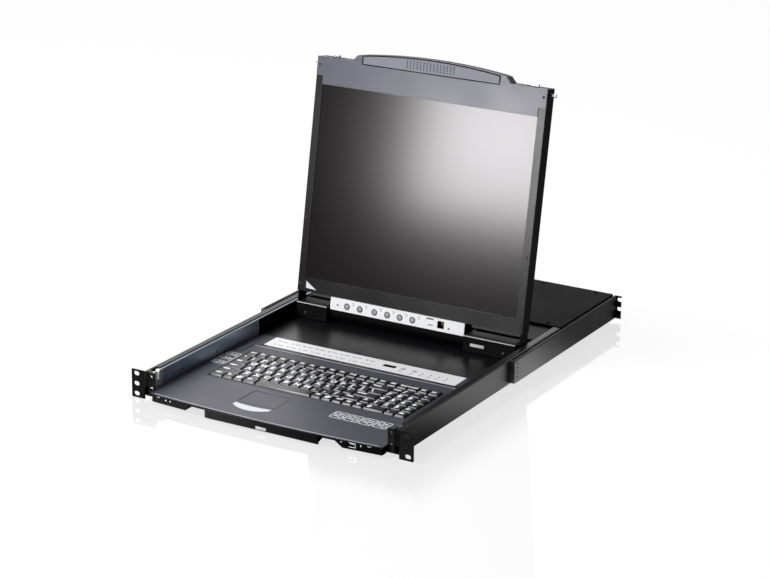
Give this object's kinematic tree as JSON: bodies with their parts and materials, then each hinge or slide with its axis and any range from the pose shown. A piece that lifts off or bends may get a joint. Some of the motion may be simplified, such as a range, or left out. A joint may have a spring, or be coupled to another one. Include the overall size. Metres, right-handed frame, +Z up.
{
  "type": "rackmount lcd console drawer",
  "caption": "Rack-mount console drawer with a keyboard tray on telescopic slides, a touchpad and a flat screen lid that folds down over the keys.",
  "frame": {"origin": "middle of the front screw pattern, on the back face of the front ears, where they meet the rack's front rails", "axes": "+X to the right seen from the front, +Y to the rear of the rack, +Z up"},
  "size_m": [0.4826, 0.7144, 0.4512],
  "materials": {
    "enamel": "satin black powder coat",
    "cover_sheet": "satin grey powder coat",
    "zinc": "bright zinc",
    "screw": "plated",
    "board": "matt",
    "plastic": "fine grain",
    "key_plastic": "matt",
    "button_grey": "matt",
    "catch_plastic": "pale moulded",
    "gloss_sheet": "gloss",
    "label_film": "gloss",
    "window": "gloss",
    "screen": "dark gloss"
  },
  "bodies": {
    "housing": {"side_panel_left": "enamel", "side_panel_right": "enamel", "housing_floor": "enamel", "rear_panel": "enamel", "rear_cover": "cover_sheet", "housing_screws": "screw", "main_board": "board", "rear_sockets": "plastic", "slide_outer_left": "zinc", "slide_outer_right": "zinc", "bracket_guides": "zinc"},
    "power_rocker": {"power_rocker": "plastic"},
    "rear_bracket_left": {"rear_bracket_left": "enamel"},
    "rear_bracket_right": {"rear_bracket_right": "enamel"},
    "slide_middle_left": {"slide_middle_left": "zinc"},
    "slide_middle_right": {"slide_middle_right": "zinc"},
    "ball_cages_inner": {"ball_cages_inner": "screw"},
    "ball_cages_outer": {"ball_cages_outer": "screw"},
    "drawer": {"slide_inner_left": "zinc", "slide_inner_right": "zinc", "lid_catches": "catch_plastic", "tray_pan": "enamel", "keyboard_deck": "enamel", "rear_deck": "gloss_sheet", "front_fascia": "plastic", "pull_handle": "plastic", "front_flanges": "enamel", "key_guide_plate": "plastic", "key_board": "zinc", "touchpad": "plastic", "port_strip": "label_film", "strip_window": "window", "hinge_mount_left": "enamel", "hinge_mount_right": "enamel"},
    "lid": {"lid_shell": "plastic", "lid_bezel": "plastic", "lid_top_band": "plastic", "lid_grip": "plastic", "screen_panel": "screen", "hinge_beam": "plastic", "hinge_arms": "zinc", "control_strip": "plastic"},
    "lid_latch_left": {"lid_latch_left": "plastic"},
    "lid_latch_right": {"lid_latch_right": "plastic"},
    "touch_button_left": {"touch_button_left": "button_grey"},
    "touch_button_right": {"touch_button_right": "button_grey"},
    "port_button_down": {"port_button_down": "button_grey"},
    "port_button_up": {"port_button_up": "button_grey"},
    "key_row_function": {"key_row_function": "key_plastic"},
    "key_row_number": {"key_row_number": "key_plastic"},
    "key_row_upper": {"key_row_upper": "key_plastic"},
    "key_row_home": {"key_row_home": "key_plastic"},
    "key_row_lower": {"key_row_lower": "key_plastic"},
    "key_row_space": {"key_row_space": "key_plastic"},
    "control_button_1": {"control_button_1": "button_grey"},
    "control_button_2": {"control_button_2": "button_grey"},
    "control_button_3": {"control_button_3": "button_grey"},
    "control_button_4": {"control_button_4": "button_grey"},
    "control_button_5": {"control_button_5": "button_grey"},
    "control_button_6": {"control_button_6": "button_grey"}
  },
  "joints": [
    {"name": "drawer_slide", "type": "slide", "parent": "housing", "child": "drawer", "axis": [0, -1, 0], "range_m": [0, 0.4]},
    {"name": "slide_middle_left_run", "type": "slide", "parent": "housing", "child": "slide_middle_left", "axis": [0, -1, 0], "range_m": [0, 0.2]},
    {"name": "slide_middle_right_run", "type": "slide", "parent": "housing", "child": "slide_middle_right", "axis": [0, -1, 0], "range_m": [0, 0.2]},
    {"name": "ball_cages_inner_run", "type": "slide", "parent": "housing", "child": "ball_cages_inner", "axis": [0, -1, 0], "range_m": [0, 0.3]},
    {"name": "ball_cages_outer_run", "type": "slide", "parent": "housing", "child": "ball_cages_outer", "axis": [0, -1, 0], "range_m": [0, 0.1]},
    {"name": "rear_bracket_left_run", "type": "slide", "parent": "housing", "child": "rear_bracket_left", "axis": [0, 1, 0], "range_m": [-0.03, 0.13]},
    {"name": "rear_bracket_right_run", "type": "slide", "parent": "housing", "child": "rear_bracket_right", "axis": [0, 1, 0], "range_m": [-0.03, 0.13]},
    {"name": "lid_hinge", "type": "hinge", "parent": "drawer", "child": "lid", "pos_m": [0, 0.407, 0.012], "axis": [1, 0, 0], "range_deg": [-20, 99.6]},
    {"name": "lid_latch_left_slide", "type": "slide", "parent": "lid", "child": "lid_latch_left", "axis": [1, 0, 0], "range_m": [0, 0.008], "stiffness_N_per_m": 250, "springref_m": -0.006},
    {"name": "lid_latch_right_slide", "type": "slide", "parent": "lid", "child": "lid_latch_right", "axis": [-1, 0, 0], "range_m": [0, 0.008], "stiffness_N_per_m": 250, "springref_m": -0.006},
    {"name": "touch_button_left_press", "type": "slide", "parent": "drawer", "child": "touch_button_left", "axis": [0, 0, -1], "range_m": [0, 0.0006], "stiffness_N_per_m": 1500, "springref_m": -0.0003},
    {"name": "touch_button_right_press", "type": "slide", "parent": "drawer", "child": "touch_button_right", "axis": [0, 0, -1], "range_m": [0, 0.0006], "stiffness_N_per_m": 1500, "springref_m": -0.0003},
    {"name": "port_button_down_press", "type": "slide", "parent": "drawer", "child": "port_button_down", "axis": [0, 0, -1], "range_m": [0, 0.0006], "stiffness_N_per_m": 1500, "springref_m": -0.0003},
    {"name": "port_button_up_press", "type": "slide", "parent": "drawer", "child": "port_button_up", "axis": [0, 0, -1], "range_m": [0, 0.0006], "stiffness_N_per_m": 1500, "springref_m": -0.0003},
    {"name": "key_row_function_press", "type": "slide", "parent": "drawer", "child": "key_row_function", "axis": [0, 0, -1], "range_m": [0, 0.0015], "stiffness_N_per_m": 3000, "springref_m": -0.0005},
    {"name": "key_row_number_press", "type": "slide", "parent": "drawer", "child": "key_row_number", "axis": [0, 0, -1], "range_m": [0, 0.0015], "stiffness_N_per_m": 3000, "springref_m": -0.0005},
    {"name": "key_row_upper_press", "type": "slide", "parent": "drawer", "child": "key_row_upper", "axis": [0, 0, -1], "range_m": [0, 0.0015], "stiffness_N_per_m": 3000, "springref_m": -0.0005},
    {"name": "key_row_home_press", "type": "slide", "parent": "drawer", "child": "key_row_home", "axis": [0, 0, -1], "range_m": [0, 0.0015], "stiffness_N_per_m": 3000, "springref_m": -0.0005},
    {"name": "key_row_lower_press", "type": "slide", "parent": "drawer", "child": "key_row_lower", "axis": [0, 0, -1], "range_m": [0, 0.0015], "stiffness_N_per_m": 3000, "springref_m": -0.0005},
    {"name": "key_row_space_press", "type": "slide", "parent": "drawer", "child": "key_row_space", "axis": [0, 0, -1], "range_m": [0, 0.0015], "stiffness_N_per_m": 3000, "springref_m": -0.0005},
    {"name": "control_button_1_press", "type": "slide", "parent": "lid", "child": "control_button_1", "axis": [0, 0.986, -0.1668], "range_m": [0, 0.0006], "stiffness_N_per_m": 1500, "springref_m": -0.0003},
    {"name": "control_button_2_press", "type": "slide", "parent": "lid", "child": "control_button_2", "axis": [0, 0.986, -0.1668], "range_m": [0, 0.0006], "stiffness_N_per_m": 1500, "springref_m": -0.0003},
    {"name": "control_button_3_press", "type": "slide", "parent": "lid", "child": "control_button_3", "axis": [0, 0.986, -0.1668], "range_m": [0, 0.0006], "stiffness_N_per_m": 1500, "springref_m": -0.0003},
    {"name": "control_button_4_press", "type": "slide", "parent": "lid", "child": "control_button_4", "axis": [0, 0.986, -0.1668], "range_m": [0, 0.0006], "stiffness_N_per_m": 1500, "springref_m": -0.0003},
    {"name": "control_button_5_press", "type": "slide", "parent": "lid", "child": "control_button_5", "axis": [0, 0.986, -0.1668], "range_m": [0, 0.0006], "stiffness_N_per_m": 1500, "springref_m": -0.0003},
    {"name": "control_button_6_press", "type": "slide", "parent": "lid", "child": "control_button_6", "axis": [0, 0.986, -0.1668], "range_m": [0, 0.0006], "stiffness_N_per_m": 1500, "springref_m": -0.0003},
    {"name": "power_rocker_pivot", "type": "hinge", "parent": "housing", "child": "power_rocker", "pos_m": [0.1474, 0.686, 0.00325], "axis": [1, 0, 0], "range_deg": [-18, 0]}
  ],
  "couplings": [
    {"joint": "slide_middle_left_run", "follows": "drawer_slide", "ratio": 0.5},
    {"joint": "slide_middle_right_run", "follows": "drawer_slide", "ratio": 0.5},
    {"joint": "ball_cages_inner_run", "follows": "drawer_slide", "ratio": 0.75},
    {"joint": "ball_cages_outer_run", "follows": "drawer_slide", "ratio": 0.25}
  ]
}
